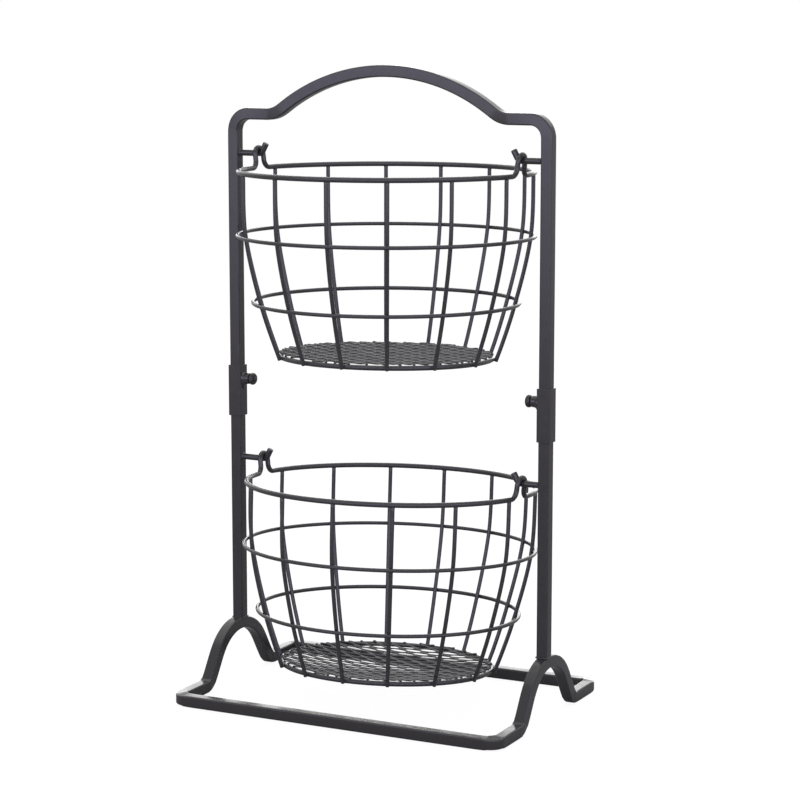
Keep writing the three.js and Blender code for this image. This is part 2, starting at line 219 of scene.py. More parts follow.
class FloorSizes(bpy.types.PropertyGroup):
    """Sizes of the expanded metal of the floors."""

    long_way: length("Long way", "Length of a cell", 22.8)
    short_way: length("Short way", "Width of a cell", 13.2)
    strand: length("Strand", "Width of a strand", 2.2)
    thickness: length("Thickness", "Thickness of a strand", 1.2)
    thin: share("Thin", "Thickness of a strand half way between its bonds, of that at a bond", 0.4)
    bond: length("Bond", "Length along which two strands hold together", 4)
    tilt: angle("Tilt", "Lean of the strands, with their back edge up", 8)
    turn: angle("Turn", "Short way turned from X", 88)
    overlap: length("Overlap", "How far the sheet lies on the floor ring, past its inside", 2.2)
    press: length("Press", "How far the sheet is pressed into its welds on the ring", 0.3)
    ripple: length("Ripple", "Waviness of the sheet", 0.25)
    lower_sag: length("Lower sag", "How far the lower sheet hangs down in the middle", 6.4)
    upper_sag: length("Upper sag", "How far the upper sheet hangs down in the middle", 0.8)
    end_weld: length("End weld", "Radius of the weld that holds the end of a strand", 1.2)


class ScrewSizes(bpy.types.PropertyGroup):
    """Sizes of the thumbscrews."""

    knurl_count: count("Knurls", "Ridges round a knob", 28)
    knurl_depth: length("Knurl depth", "Height of the ridges of a knob", 0.2)
    knob_trim: length("Knob trim", "Free end of a knob back from the end of its solid", 2.2)
    knob_round: length("Knob round", "Rounding of a knob's rims", 2.0)
    dish: length("Dish", "Depth of the dished end of a knob", 0.9)
    pitch: length("Pitch", "Pitch of the thread", 0.8)
    thread: length("Thread", "Depth of the thread", 0.45)


class Finishes(bpy.types.PropertyGroup):
    """Colours of the coats."""

    coat: colour("Coat", "Powder coat of the frame", "33312C")
    coat_cool: colour("Cool coat", "Bluish patches of the coat", "343334")
    wire: colour("Wire coat", "Powder coat of the wires", "32302E")
    floor_coat: colour("Floor coat", "Powder coat of the expanded metal", "282628")
    knob: colour("Knob", "Black of the thumbscrews", "1C1C1E")


class StageSettings(bpy.types.PropertyGroup):
    """Camera, floor and light."""

    distance: length("Distance", "Camera to the point that it is turned round", 2066.5)
    aim_x: length("Aim X", "Sideways place of the point that the camera is turned round", 12.82)
    aim_z: length("Aim Z", "Height of the point that the camera is turned round", 262.94)
    azimuth: angle("Azimuth", "Camera's turn to the right", 28.33)
    pitch: angle("Pitch", "Camera's look down", 8.822)
    lens: FloatProperty(name="Lens", description="Focal length", default=109.03, unit="CAMERA")
    floor: colour("Floor", "Colour of the floor", "989898")
    floor_reach: length("Floor reach", "Radius of the floor", 3000)
    floor_glow: share("Floor glow", "Share of the floor that shows white without light", 0.62)
    floor_white: share("Floor white", "Strength of that white", 1.48)
    dim: share("Dim", "Level of the studio's plain walls", 0.5)
    window: share("Window", "Level of the window band in front", 2.5)
    window_tint: colour("Window tint", "Colour of the window band", "DED9FF")
    screen: share("Screen", "Level of the white screen behind the stand", 3.6)
    ceiling: share("Ceiling", "Level of the white ceiling", 1.3)
    softbox: FloatProperty(
        name="Softbox", description="Power of the softbox above", default=5, unit="POWER"
    )


GROUPS = {
    "stand_frame": FrameSizes,
    "stand_basket": BasketSizes,
    "stand_floor": FloorSizes,
    "stand_screw": ScrewSizes,
    "stand_finish": Finishes,
    "stand_stage": StageSettings,
}


# Shapes

class Shape:
    """Points and faces of a piece while it is made."""

    def __init__(self):
        self.points = []
        self.faces = []

    def skin(self, rings, closed=False):
        """Faces between rings of points, with a cap on each end unless the rings close."""
        start = len(self.points)
        sides = len(rings[0])
        for ring in rings:
            self.points.extend(ring)
        for here in range(len(rings) if closed else len(rings) - 1):
            low = start + here * sides
            high = start + (here + 1) % len(rings) * sides
            for side in range(sides):
                after = (side + 1) % sides
                self.faces.append((low + side, low + after, high + after, high + side))
        if not closed:
            last = start + (len(rings) - 1) * sides
            self.faces.append(tuple(start + side for side in reversed(range(sides))))
            self.faces.append(tuple(last + side for side in range(sides)))
        return self

    def moved(self, matrix):
        """The same shape in another place."""
        self.points = [matrix @ point for point in self.points]
        return self


def round_section(diameter, sides):
    """Points round a circle."""
    turns = (side / sides * math.tau for side in range(sides))
    return [Vector((math.cos(turn), math.sin(turn))) * diameter / 2 for turn in turns]


def quarter_turns(steps):
    """Angles from none to a right angle."""
    return [step / steps * math.pi / 2 for step in range(steps + 1)]


def square_section(side, edge, steps=BAR_EDGE_STEPS):
    """Points round a square with rounded corners."""
    corner = Vector((side / 2 - edge, side / 2 - edge))
    points = []
    for quarter in range(4):
        for turn in quarter_turns(steps):
            point = corner + Vector((math.cos(turn), math.sin(turn))) * edge
            points.append(Matrix.Rotation(quarter * math.pi / 2, 2) @ point)
    return points


def bent(corners, step):
    """Points along a bent bar: straight between its corners, and round at those with a radius."""
    points = []
    for index, (corner, radius) in enumerate(corners):
        if not radius:
            points.append(corner)
            continue
        back = (corners[index - 1][0] - corner).normalized()
        on = (corners[(index + 1) % len(corners)][0] - corner).normalized()
        turn = math.pi - back.angle(on)
        axis = on.cross(back).normalized()
        centre = corner + (back + on).normalized() * radius / math.cos(turn / 2)
        arm = corner + back * radius * math.tan(turn / 2) - centre
        steps = math.ceil(turn * radius / step)
        for here in range(steps + 1):
            point = centre + Matrix.Rotation(turn * here / steps, 3, axis) @ arm
            if not points or (point - points[-1]).length > SAME_PLACE:
                points.append(point)
    return points


def divided(points, longest, closed=False):
    """The same points, with every run cut to steps no longer than a given length."""
    finer = [points[0]]
    for start, end in zip(points, points[1:] + (points[:1] if closed else [])):
        steps = max(1, math.ceil((end - start).length / longest))
        finer.extend(start.lerp(end, step / steps) for step in range(1, steps + 1))
    return finer[:-1] if closed else finer


def bent_path(corners, steps, closed=False):
    """Points along a bent bar, close together in its bends and further apart between them."""
    in_bend, in_run = steps
    return divided(bent(corners, in_bend), in_run, closed)


def tangents(points, closed):
    """Direction of a path at each of its points."""
    last = len(points) - 1
    result = []
    for here, point in enumerate(points):
        along = Vector()
        if here or closed:
            along += (point - points[here - 1]).normalized()
        if here < last or closed:
            along += (points[(here + 1) % len(points)] - point).normalized()
        result.append(along.normalized())
    return result


def bends(points, along, closed):
    """Curvature of a path at each of its points, as a vector towards the middle of the bend."""
    total = len(points)
    raw = []
    for here in range(total):
        if not closed and here in (0, total - 1):
            raw.append(Vector())
            continue
        after = (here + 1) % total
        span = (points[after] - points[here - 1]).length
        raw.append((along[after] - along[here - 1]) / span)
    return [(raw[here - 1] + raw[here] * 2 + raw[(here + 1) % total]) / 4 for here in range(total)]


def sweep(section, points, normal, closed=False, bulge=0.0, scales=None):
    """Rings of a section carried along a path without twist.

    A bar that is bent swells on the inside of the bend and thins on the outside.
    """
    along = tangents(points, closed)
    curved = bends(points, along, closed) if bulge else None
    rings = []
    for here, (point, forward) in enumerate(zip(points, along)):
        normal = (normal - forward * normal.dot(forward)).normalized()
        across = forward.cross(normal)
        size = scales[here] if scales else 1.0
        ring = []
        for corner in section:
            offset = (normal * corner.x + across * corner.y) * size
            if bulge and curved[here].length_squared > 0:
                inward = curved[here]
                aside = forward.cross(inward).normalized()
                offset += aside * offset.dot(aside) * offset.dot(inward) * bulge
            ring.append(point + offset)
        rings.append(ring)
    return rings


def cut_ends(points, size, edge):
    """A path with its two ends rounded over: its points and the scale of the section at each."""
    first = (points[1] - points[0]).normalized()
    last = (points[-2] - points[-1]).normalized()
    slope = 1 - math.sqrt(0.5)
    path = [points[0], points[0] + first * edge * slope, points[0] + first * edge]
    path += points[1:-1]
    path += [points[-1] + last * edge, points[-1] + last * edge * slope, points[-1]]
    small = [1 - 2 * edge / size, 1 - 2 * edge * slope / size]
    return path, small + [1.0] * (len(path) - 4) + small[::-1]


def ring_points(radius, height, steps):
    """Points round a level circle."""
    turns = (step / steps * math.tau for step in range(steps))
    return [Vector((math.cos(turn) * radius, math.sin(turn) * radius, height)) for turn in turns]


def revolved(profile, start, way, sides):
    """Rings of a piece turned about a line along X: its profile is distance along it and radius."""
    rings = []
    for along, radius in profile:
        x = start.x + way * along
        circle = round_section(2 * radius, sides)
        rings.append([Vector((x, start.y + point.x * way, start.z + point.y)) for point in circle])
    return rings


def rough(point, size, amount):
    """A small push, the same on each run, that makes a weld uneven."""
    return noise.noise_vector(point / size) * amount


def lump(shape, centre, axes, uneven, rounds=8, levels=5):
    """A weld nugget: a ball stretched along three axes, with an uneven skin."""
    rings = []
    for level in range(1, levels):
        tip = level / levels * math.pi
        ring = []
        for step in range(rounds):
            turn = step / rounds * math.tau
            out = (axes[0] * math.cos(turn) + axes[1] * math.sin(turn)) * math.sin(tip)
            point = centre + out - axes[2] * math.cos(tip)
            ring.append(point + rough(point, uneven * NUGGET_WAVE, uneven))
        rings.append(ring)
    shape.skin(rings)


def stretched(axes, size, shares):
    """Axes of a weld nugget, each with its share of the nugget's size."""
    return [axis * size * part for axis, part in zip(axes, shares)]


def bead(shape, path, radius):
    """A run of weld round a closed path, thick and thin by turns."""
    wave = radius * 2
    points = [point + rough(point, wave, WELD_UNEVEN) for point in path]
    scales = [1 + BEAD_SWELL * noise.noise(point / wave) for point in path]
    section = round_section(radius * 2, BEAD_SIDES)
    shape.skin(sweep(section, points, BEAD_NORMAL, True, 0, scales), True)


def add_piece(name, shape, body, slot, nodes=(), flat=False):
    """A mesh object that moves with a body, has the coat of its slot and stands for some nodes."""
    mesh = bpy.data.meshes.new(name)
    mesh.from_pydata(shape.points, [], shape.faces)
    mesh.validate()
    mesh.shade_smooth()
    mesh.materials.append(finish(slot))
    piece = bpy.data.objects.new(name, mesh)
    bpy.context.scene.collection.objects.link(piece)
    if flat:
        piece.modifiers.new("Flat faces", "WEIGHTED_NORMAL")
    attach(piece, body)
    if nodes:
        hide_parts(*nodes)
    return piece


# Finishes

# Patterns of the powder coat: size in millimetres and detail
PATCHES = (70, 3.0)  # broad patches of tone
CLOUDS = (8, 4.0)  # clouds of gloss
PEEL = (1.2, 2.0)  # orange peel of melted powder
PEEL_DEPTH = 0.0001  # metres
NOISE_RANGE = (0.3, 0.7)  # where most values of a pattern lie

# Coat of each slot: finish, colour, colour of its patches, least and most roughness, strength of peel
COATS = {
    # Satin powder coat on square bar: long soft reflections that end sharply at the edges
    "frame_coat": ("satin_coat_on_bar", "coat", "coat_cool", 0.18, 0.26, 0.08),
    # The same coat on drawn wire: narrow lines of light, a little duller
    "wire_coat": ("satin_coat_on_wire", "wire", "coat_cool", 0.22, 0.32, 0.1),
    # On expanded metal the coat lies thick and dull, so the sheet stays dark when seen from low down
    "mesh_coat": ("satin_coat_on_expanded_metal", "floor_coat", "coat_cool", 0.5, 0.6, 0.15),
    # Black coat on turned steel: dark, with light on the ridges of the knob
    "screw_coat": ("black_coat_on_knob", "knob", "coat", 0.2, 0.3, 0.1),
    # Black oxide on the shanks: thin and dark, with the gloss of the steel under it
    "screw_steel": ("black_oxide_steel", "knob", "coat", 0.2, 0.3, 0.1),
}


def add_node(tree, kind, inputs=None, **settings):
    """A node with its settings; inputs are values or sockets to link."""
    node = tree.nodes.new(kind)
    for key, value in settings.items():
        setattr(node, key, value)
    for key, value in (inputs or {}).items():
        if isinstance(value, bpy.types.NodeSocket):
            tree.links.new(value, node.inputs[key])
        else:
            node.inputs[key].default_value = value
    return node


def new_tree(name):
    """A material without nodes, and its tree."""
    material = bpy.data.materials.new(name)
    material.use_nodes = True
    material.node_tree.nodes.clear()
    return material, material.node_tree


def powder_coat(name, base, patch, smooth, dull, peel):
    """Powder coat on steel: satin, with broad patches of tone and the fine skin of melted powder.

    The skin breaks the edges of the reflections up, and the patches keep long bars from looking even.
    """
    material, tree = new_tree(name)
    place = add_node(tree, "ShaderNodeTexCoord").outputs["Object"]
    broad, cloud, grain = (
        add_node(tree, "ShaderNodeTexNoise", {"Vector": place, "Scale": 1000 / size, "Detail": detail})
        for size, detail in (PATCHES, CLOUDS, PEEL)
    )
    tone = add_node(
        tree, "ShaderNodeMixRGB",
        {"Fac": broad.outputs["Fac"], "Color1": base, "Color2": patch},
    )
    sheen = add_node(
        tree, "ShaderNodeMapRange",
        {
            "Value": cloud.outputs["Fac"],
            "From Min": NOISE_RANGE[0], "From Max": NOISE_RANGE[1], "To Min": smooth, "To Max": dull,
        },
    )
    skin = add_node(
        tree, "ShaderNodeBump",
        {"Height": grain.outputs["Fac"], "Strength": peel, "Distance": PEEL_DEPTH},
    )
    shader = add_node(
        tree, "ShaderNodeBsdfPrincipled",
        {
            "Base Color": tone.outputs["Color"],
            "Roughness": sheen.outputs["Result"],
            "Normal": skin.outputs["Normal"],
        },
    )
    add_node(tree, "ShaderNodeOutputMaterial", {"Surface": shader.outputs["BSDF"]})
    return material


def finish(slot):
    """The finish of a slot, made when it is first asked for."""
    name, base, patch, smooth, dull, peel = COATS[slot]
    made = bpy.data.materials.get(name)
    if made:
        return made
    tones = bpy.context.scene.stand_finish
    return powder_coat(name, getattr(tones, base), getattr(tones, patch), smooth, dull, peel)


# Places taken from the CAD model

def middle(node):
    """Centre of a ring in the CAD model."""
    points = [vertex.co for vertex in frame["nodes"][node].data.vertices]
    return sum(points, Vector()) / len(points)


def hinge_point(joint):
    """Where a joint of the CAD model turns."""
    found = [entry for entry in frame["joints"] if entry["name"] == joint]
    return Vector(found[0]["pos_m"])


def basket_place(tier):
    """Where a basket hangs: from its own axes, with the rim's middle as origin, to the stand's."""
    sizes = bpy.context.scene.stand_basket
    high = middle(f"{tier}_basket_upper_ring")
    low = middle(f"{tier}_basket_floor_ring")
    up = (high - low).normalized()
    back = up.cross(RIGHT)
    place = Matrix((RIGHT, back, up)).transposed().to_4x4()
    place.translation = high + up * sizes.upper_drop
    return place


def post_line():
    """Distance of the posts from the middle, and the side of their bar."""
    low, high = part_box("lower_post_right")
    return (low.x + high.x) / 2, high.x - low.x


# Pieces of the frame

class StandBase(bpy.types.Operator):
    """Bends the base: a loop of square bar with an arch over the table under each post."""

    bl_idname = "stand.base"
    bl_label = "Base"

    def execute(self, context):
        sizes = context.scene.stand_frame
        post_x, side = post_line()
        half = side / 2
        depth = sizes.base_depth / 2 - half
        slope = sizes.arch_slope
        apex = sizes.arch_height - half + sizes.arch_crown * (1 / math.cos(slope) - 1)
        foot = (apex - half) / math.tan(slope)
        corners = []
        for way in SIDES.values():
            x = way * post_x
            corners += [
                (Vector((x, -way * depth, half)), sizes.base_corner),
                (Vector((x, -way * foot, half)), sizes.arch_foot),
                (Vector((x, 0, apex)), sizes.arch_crown),
                (Vector((x, way * foot, half)), sizes.arch_foot),
                (Vector((x, way * depth, half)), sizes.base_corner),
            ]
        path = bent_path(corners, BASE_STEPS, closed=True)
        section = square_section(side, sizes.bar_edge)
        shape = Shape().skin(sweep(section, path, UP, True, sizes.bend_bulge), True)
        # The loop lies flat on the table, so its bends swell only upwards
        for point in shape.points:
            point.z = max(point.z, 0.0)
        shape.moved(Matrix.Rotation(sizes.base_turn, 4, "Z"))
        add_piece("base_loop", shape, "base", "frame_coat", ["base_bar"], True)
        return {"FINISHED"}


class StandPosts(bpy.types.Operator):
    """Makes the two lower posts and the welds that hold them on the arches."""

    bl_idname = "stand.posts"
    bl_label = "Lower posts"

    def execute(self, context):
        sizes = context.scene.stand_frame
        post_x, side = post_line()
        section = square_section(side, sizes.bar_edge)
        for name, way in SIDES.items():
            low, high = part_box(f"lower_post_{name}")
            ends = [Vector((way * post_x, 0, z)) for z in (low.z, high.z)]
            path, scales = cut_ends(ends, side, sizes.cut_edge)
            shape = Shape().skin(sweep(section, path, RIGHT, scales=scales))
            add_piece(
                f"lower_post_bar_{name}", shape, "base", "frame_coat", [f"lower_post_{name}"], True
            )
            self.add_weld(sizes, name, way * post_x, side)
        return {"FINISHED"}

    def add_weld(self, sizes, name, x, side):
        """The run of weld round the foot of a post, along the curve of the arch."""
        outer = sizes.arch_crown + side / 2
        path = []
        for point in square_section(side + sizes.post_weld / 2, sizes.bar_edge, BEAD_EDGE_STEPS):
            sink = outer - math.sqrt(outer ** 2 - point.y ** 2)
            path.append(Vector((x + point.x, point.y, sizes.arch_height - sink)))
        shape = Shape()
        bead(shape, divided(path, BEAD_STEP, closed=True), sizes.post_weld)
        add_piece(f"post_weld_{name}", shape, "base", "frame_coat")


class StandHandle(bpy.types.Operator):
    """Bends the upper half of the frame: two legs, two shoulders and the arched grip."""

    bl_idname = "stand.handle"
    bl_label = "Handle"

    def execute(self, context):
        sizes = context.scene.stand_frame
        post_x, side = post_line()
        low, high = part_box("handle_bar")
        shoulder = high.z - side / 2 - sizes.handle_rise
        blend_x = post_x - sizes.shoulder_corner - sizes.shoulder_flat
        reach = (blend_x ** 2 + sizes.handle_rise ** 2) / (2 * sizes.handle_rise)
        grip = reach - sizes.handle_blend
        slope = math.asin(blend_x / reach)
        apex = shoulder + sizes.handle_rise + grip * (1 / math.cos(slope) - 1)
        corner_x = blend_x - sizes.handle_blend * math.tan(slope / 2)
        half_route = [
            (post_x, low.z, 0),
            (post_x, shoulder, sizes.shoulder_corner),
            (corner_x, shoulder, sizes.handle_blend),
        ]
        corners = [(Vector((-x, 0, z)), radius) for x, z, radius in half_route]
        corners.append((Vector((0, 0, apex)), grip))
        corners += [(Vector((x, 0, z)), radius) for x, z, radius in reversed(half_route)]
        path, scales = cut_ends(bent_path(corners, HANDLE_STEPS), side, sizes.cut_edge)
        section = square_section(side, sizes.bar_edge)
        shape = Shape().skin(sweep(section, path, RIGHT, False, sizes.bend_bulge, scales))
        add_piece("handle_and_legs", shape, "upper_frame", "frame_coat", ["handle_bar"], True)
        return {"FINISHED"}


class StandSleeves(bpy.types.Operator):
    """Makes the square tubes that join the halves of the posts, with their threaded bosses."""

    bl_idname = "stand.sleeves"
    bl_label = "Sleeves and bosses"

    def execute(self, context):
        sizes = context.scene.stand_frame
        post_x, _ = post_line()
        lip = sizes.sleeve_wall / 4  # rounding of a tube's cut end
        for name, way in SIDES.items():
            low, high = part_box(f"sleeve_{name}")
            outer = high.x - low.x
            outside = square_section(outer, sizes.bar_edge)
            inside = square_section(outer - 2 * sizes.sleeve_wall, sizes.bar_edge)
            narrow = 1 - lip / outer
            levels = [
                (inside, low.z + lip, 1.0), (inside, low.z, 1.0), (outside, low.z, narrow),
                (outside, low.z + lip, 1.0), (outside, high.z - lip, 1.0), (outside, high.z, narrow),
                (inside, high.z, 1.0), (inside, high.z - lip, 1.0),
            ]
            rings = [
                [Vector((way * post_x + point.x * scale, point.y * scale, z)) for point in section]
                for section, z, scale in levels
            ]
            shape = Shape().skin(rings, closed=True)
            add_piece(f"sleeve_tube_{name}", shape, "base", "frame_coat", [f"sleeve_{name}"], True)
            self.add_boss(name, way)
        return {"FINISHED"}

    def add_boss(self, name, way):
        """The boss, with the uneven weld that runs up to it from the sleeve, thickest below."""
        sleeve_low, sleeve_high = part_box(f"sleeve_{name}")
        low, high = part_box(f"screw_boss_{name}")
        root = sleeve_low.x if way > 0 else sleeve_high.x
        tip = low.x if way > 0 else high.x
        reach = abs(root - tip)
        foot = (high.z - low.z) / 2
        start = Vector((root, 0, (low.z + high.z) / 2))
        profile = [(along * reach, out * foot) for along, out in BOSS]
        rings = revolved(profile, start, -way, TURNED_SIDES)
        for ring, (along, _) in zip(rings, profile):
            # The weld ends half way along the boss
            welded = max(0.0, 1 - 2 * along / reach)
            for point in ring:
                sag = max(0.0, start.z - point.z) * BOSS_SAG * welded
                point += rough(point, BOSS_WAVE, BOSS_UNEVEN * welded) - UP * sag
        shape = Shape().skin(rings)
        add_piece(f"boss_{name}", shape, "base", "frame_coat", [f"screw_boss_{name}"])


class StandScrews(bpy.types.Operator):
    """Turns the thumbscrews: a threaded shank and a ridged knob on each side."""

    bl_idname = "stand.screws"
    bl_label = "Thumbscrews"

    def execute(self, context):
        sizes = context.scene.stand_screw
        for name, way in SIDES.items():
            self.add_shank(sizes, name)
            self.add_knob(sizes, name, way)
        return {"FINISHED"}

    def add_shank(self, sizes, name):
        """The shank, with a groove for each turn of its thread."""
        low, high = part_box(f"screw_shank_{name}")
        radius = (high.z - low.z) / 2
        centre = (low.z + high.z) / 2
        steps = THREAD_STEPS * math.ceil((high.x - low.x) / sizes.pitch)
        rings = []
        for step in range(steps + 1):
            x = low.x + (high.x - low.x) * step / steps
            ring = []
            for side, point in enumerate(round_section(2, SHANK_SIDES)):
                wave = math.cos(math.tau * (x / sizes.pitch + side / SHANK_SIDES))
                size = radius - sizes.thread * (0.5 - 0.5 * wave)
                ring.append(Vector((x, point.x * size, centre + point.y * size)))
            rings.append(ring)
        shape = Shape().skin(rings)
        add_piece(f"shank_{name}", shape, f"{name}_screw", "screw_steel", [f"screw_shank_{name}"])

    def add_knob(self, sizes, name, way):
        """The knob: round rims, ridges between them and a dished end with the screw's tip in it."""
        low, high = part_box(f"screw_knob_{name}")
        radius = (high.z - low.z) / 2
        outer = low.x + sizes.knob_trim if way > 0 else high.x - sizes.knob_trim
        deep = high.x - low.x - sizes.knob_trim
        start = Vector((outer, 0, (low.z + high.z) / 2))
        curve = sizes.knob_round
        quarter = quarter_turns(KNOB_ROUND_STEPS)
        profile = [(sizes.dish * along, radius * out) for along, out in KNOB_TIP]
        profile += [
            (curve * (1 - math.cos(turn)), radius - curve * (1 - math.sin(turn))) for turn in quarter
        ]
        profile += [
            (deep - curve * (1 - math.sin(turn)), radius - curve * (1 - math.cos(turn)))
            for turn in quarter
        ]
        profile.append((deep, KNOB_BACK * radius))
        sides = KNURL_STEPS * sizes.knurl_count
        rings = revolved(profile, start, way, sides)
        for ring, (_, size) in zip(rings, profile):
            # The ridges fade out in the outer half of the rounding
            grip = max(0.0, 1 - (radius - size) / (0.5 * curve))
            for side, point in enumerate(ring):
                ridge = 0.5 - 0.5 * math.cos(math.tau * side * sizes.knurl_count / sides)
                out = Vector((0, point.y - start.y, point.z - start.z)).normalized()
                point -= out * sizes.knurl_depth * ridge * grip
        shape = Shape().skin(rings)
        add_piece(f"knob_{name}", shape, f"{name}_screw", "screw_coat", [f"screw_knob_{name}"])


class StandHooks(bpy.types.Operator):
    """Bends the four hooks and lays the weld round each of them."""

    bl_idname = "stand.hooks"
    bl_label = "Hooks"

    def execute(self, context):
        sizes = context.scene.stand_frame
        post_x, side = post_line()
        root = post_x - side / 2
        rod = sizes.hook_rod
        run = sizes.hook_rise / math.tan(sizes.hook_slope)
        for tier, body in TIERS.items():
            height = hinge_point(f"{tier}_basket_swing").z
            for name, way in SIDES.items():
                low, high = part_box(f"{tier}_hook_{name}")
                tip = low.x if way > 0 else -high.x
                bend_x = tip + rod / 2 * math.sin(sizes.hook_slope) + run
                corners = [
                    (Vector((way * root, 0, height)), 0),
                    (Vector((way * bend_x, 0, height)), sizes.hook_bend),
                    (Vector((way * (bend_x - run), 0, height + sizes.hook_rise)), 0),
                ]
                path, scales = cut_ends(bent_path(corners, HOOK_STEPS), rod, sizes.cut_edge)
                shape = Shape().skin(sweep(round_section(rod, ROD_SIDES), path, FRONT, scales=scales))
                self.add_weld(shape, corners[0][0], -way, rod / 2, sizes.hook_weld)
                add_piece(
                    f"{tier}_hook_rod_{name}", shape, body, "frame_coat", [f"{tier}_hook_{name}"]
                )
        return {"FINISHED"}

    def add_weld(self, shape, root, way, radius, leg):
        """A hollow weld from the post's face to the rod, with its end inside the rod."""
        profile = [
            (leg * (1 - math.cos(turn)), radius + leg * (1 - math.sin(turn)))
            for turn in quarter_turns(HOOK_WELD_STEPS)
        ]
        profile.append((leg, radius * HOOK_WELD_END))
        rings = revolved(profile, root, way, TURNED_SIDES)
        for ring in rings[1:-2]:
            for point in ring:
                point += rough(point, WELD_WAVE, WELD_UNEVEN)
        shape.skin(rings)


# Pieces of the baskets

def rib_profile(sizes, steps):
    """Side view of a rib from the rim down to the floor ring: radius and height at each step."""
    knots = [
        Vector((sizes.rim_radius, -sizes.rim_wire / 2)),
        Vector((sizes.waist_radius, -sizes.upper_drop)),
        Vector((sizes.hip_radius, -sizes.lower_drop)),
        Vector((sizes.foot_radius, -sizes.floor_drop)),
    ]
    runs = len(knots) - 1
    line = []
    for step in range(steps + 1):
        run = min(int(step / steps * runs), runs - 1)
        t = step / steps * runs - run
        start, end = knots[run], knots[run + 1]
        leave = (end - knots[max(run - 1, 0)]) / 2
        arrive = (knots[min(run + 2, runs)] - start) / 2
        line.append(
            (start * 2 - end * 2 + leave + arrive) * t ** 3
            + (end * 3 - start * 3 - leave * 2 - arrive) * t ** 2
            + leave * t + start
        )
    return line


def rib_angles(sizes):
    """Angle of each rib: half of them go round the front, and the rest are the same half turned."""
    half = sizes.rib_count // 2
    angles = []
    for index in range(sizes.rib_count):
        even = (index % half - (half - 1) / 2) * math.tau / sizes.rib_count
        behind = -math.pi / 2 if index < half else math.pi / 2
        drawn = sizes.rib_bunch * math.sin(2 * (even - sizes.rib_bunch_at))
        angles.append(behind + sizes.rib_shift + even - drawn)
    return angles


def ring_levels(sizes):
    """Radius, wire and drop of the two rings and the floor ring, pressed against the ribs."""
    steps = 300
    line = rib_profile(sizes, steps)
    levels = {}
    for name, place, wire, drop, outward in (
        ("upper_ring", steps // 3, sizes.ring_wire, sizes.upper_drop, 1),
        ("lower_ring", steps * 2 // 3, sizes.ring_wire, sizes.lower_drop, 1),
        ("floor_ring", steps, sizes.floor_wire, sizes.floor_drop, -1),
    ):
        slope = (line[min(place + 1, steps)] - line[place - 1]).normalized()
        reach = (sizes.rib_wire + wire) / 2 - sizes.weld_bite
        levels[name] = (line[place].x + outward * reach / abs(slope.y), wire, drop)
    return levels


def leaning(shape, sizes):
    """The floor's lean, which the ribs take up between the lower ring and the floor."""
    radius = ring_levels(sizes)["floor_ring"][0]
    span = sizes.floor_drop - 2 * sizes.floor_wire - sizes.lower_drop
    for point in shape.points:
        part = min(1.0, max(0.0, (-point.z - sizes.lower_drop) / span))
        point.z -= part * (radius + point.y) * math.tan(sizes.floor_lean)
    return shape


def add_to_basket(tier, name, shape, slot, *nodes):
    """A piece of a basket: it takes up the floor's lean and is put where the basket hangs."""
    placed = leaning(shape, bpy.context.scene.stand_basket).moved(basket_place(tier))
    replaced = [f"{tier}_basket_{node}" for node in nodes]
    add_piece(f"{tier}_{name}", placed, f"{tier}_basket", slot, replaced)


class StandRims(bpy.types.Operator):
    """Bends the rims, with a loop at each side that hangs on a hook."""

    bl_idname = "stand.rims"
    bl_label = "Rims"

    def execute(self, context):
        sizes = context.scene.stand_basket
        rod = context.scene.stand_frame.hook_rod
        lap = math.tau * sizes.rim_radius
        crown = sizes.loop_width / 2
        for tier in TIERS:
            hang = basket_place(tier).inverted() @ hinge_point(f"{tier}_basket_swing")
            top = hang.z + (sizes.rim_wire + rod) / 2
            ahead = sizes.rim_radius * math.asin(-hang.y / sizes.rim_radius)
            corners = [(Vector((lap / 4, 0, 0)), 0)]
            for along in (lap / 2 + ahead, lap - ahead):
                corners += [
                    (Vector((along - crown, 0, 0)), sizes.loop_foot),
                    (Vector((along - crown, 0, top)), crown - SAME_PLACE),
                    (Vector((along + crown, 0, top)), crown - SAME_PLACE),
                    (Vector((along + crown, 0, 0)), sizes.loop_foot),
                ]
            corners.append((Vector((lap * 5 / 4, 0, 0)), 0))
            path = []
            for point in bent_path(corners, RIM_STEPS)[:-1]:
                turn = point.x / sizes.rim_radius
                radius = sizes.rim_radius + sizes.loop_lean * point.z / top
                path.append(Vector((math.cos(turn) * radius, math.sin(turn) * radius, point.z)))
            section = round_section(sizes.rim_wire, RIM_SIDES)
            shape = Shape().skin(sweep(section, path, UP, True), True)
            add_to_basket(tier, "rim_wire", shape, "wire_coat", "rim")
        return {"FINISHED"}


class StandRings(bpy.types.Operator):
    """Makes the two rings round the ribs and the floor ring inside their feet."""

    bl_idname = "stand.rings"
    bl_label = "Rings"

    def execute(self, context):
        sizes = context.scene.stand_basket
        for tier in TIERS:
            for name, (radius, wire, drop) in ring_levels(sizes).items():
                path = ring_points(radius, -drop, RING_SIDES)
                shape = Shape().skin(sweep(round_section(wire, WIRE_SIDES), path, UP, True), True)
                add_to_basket(tier, f"{name}_wire", shape, "wire_coat", name)
        return {"FINISHED"}


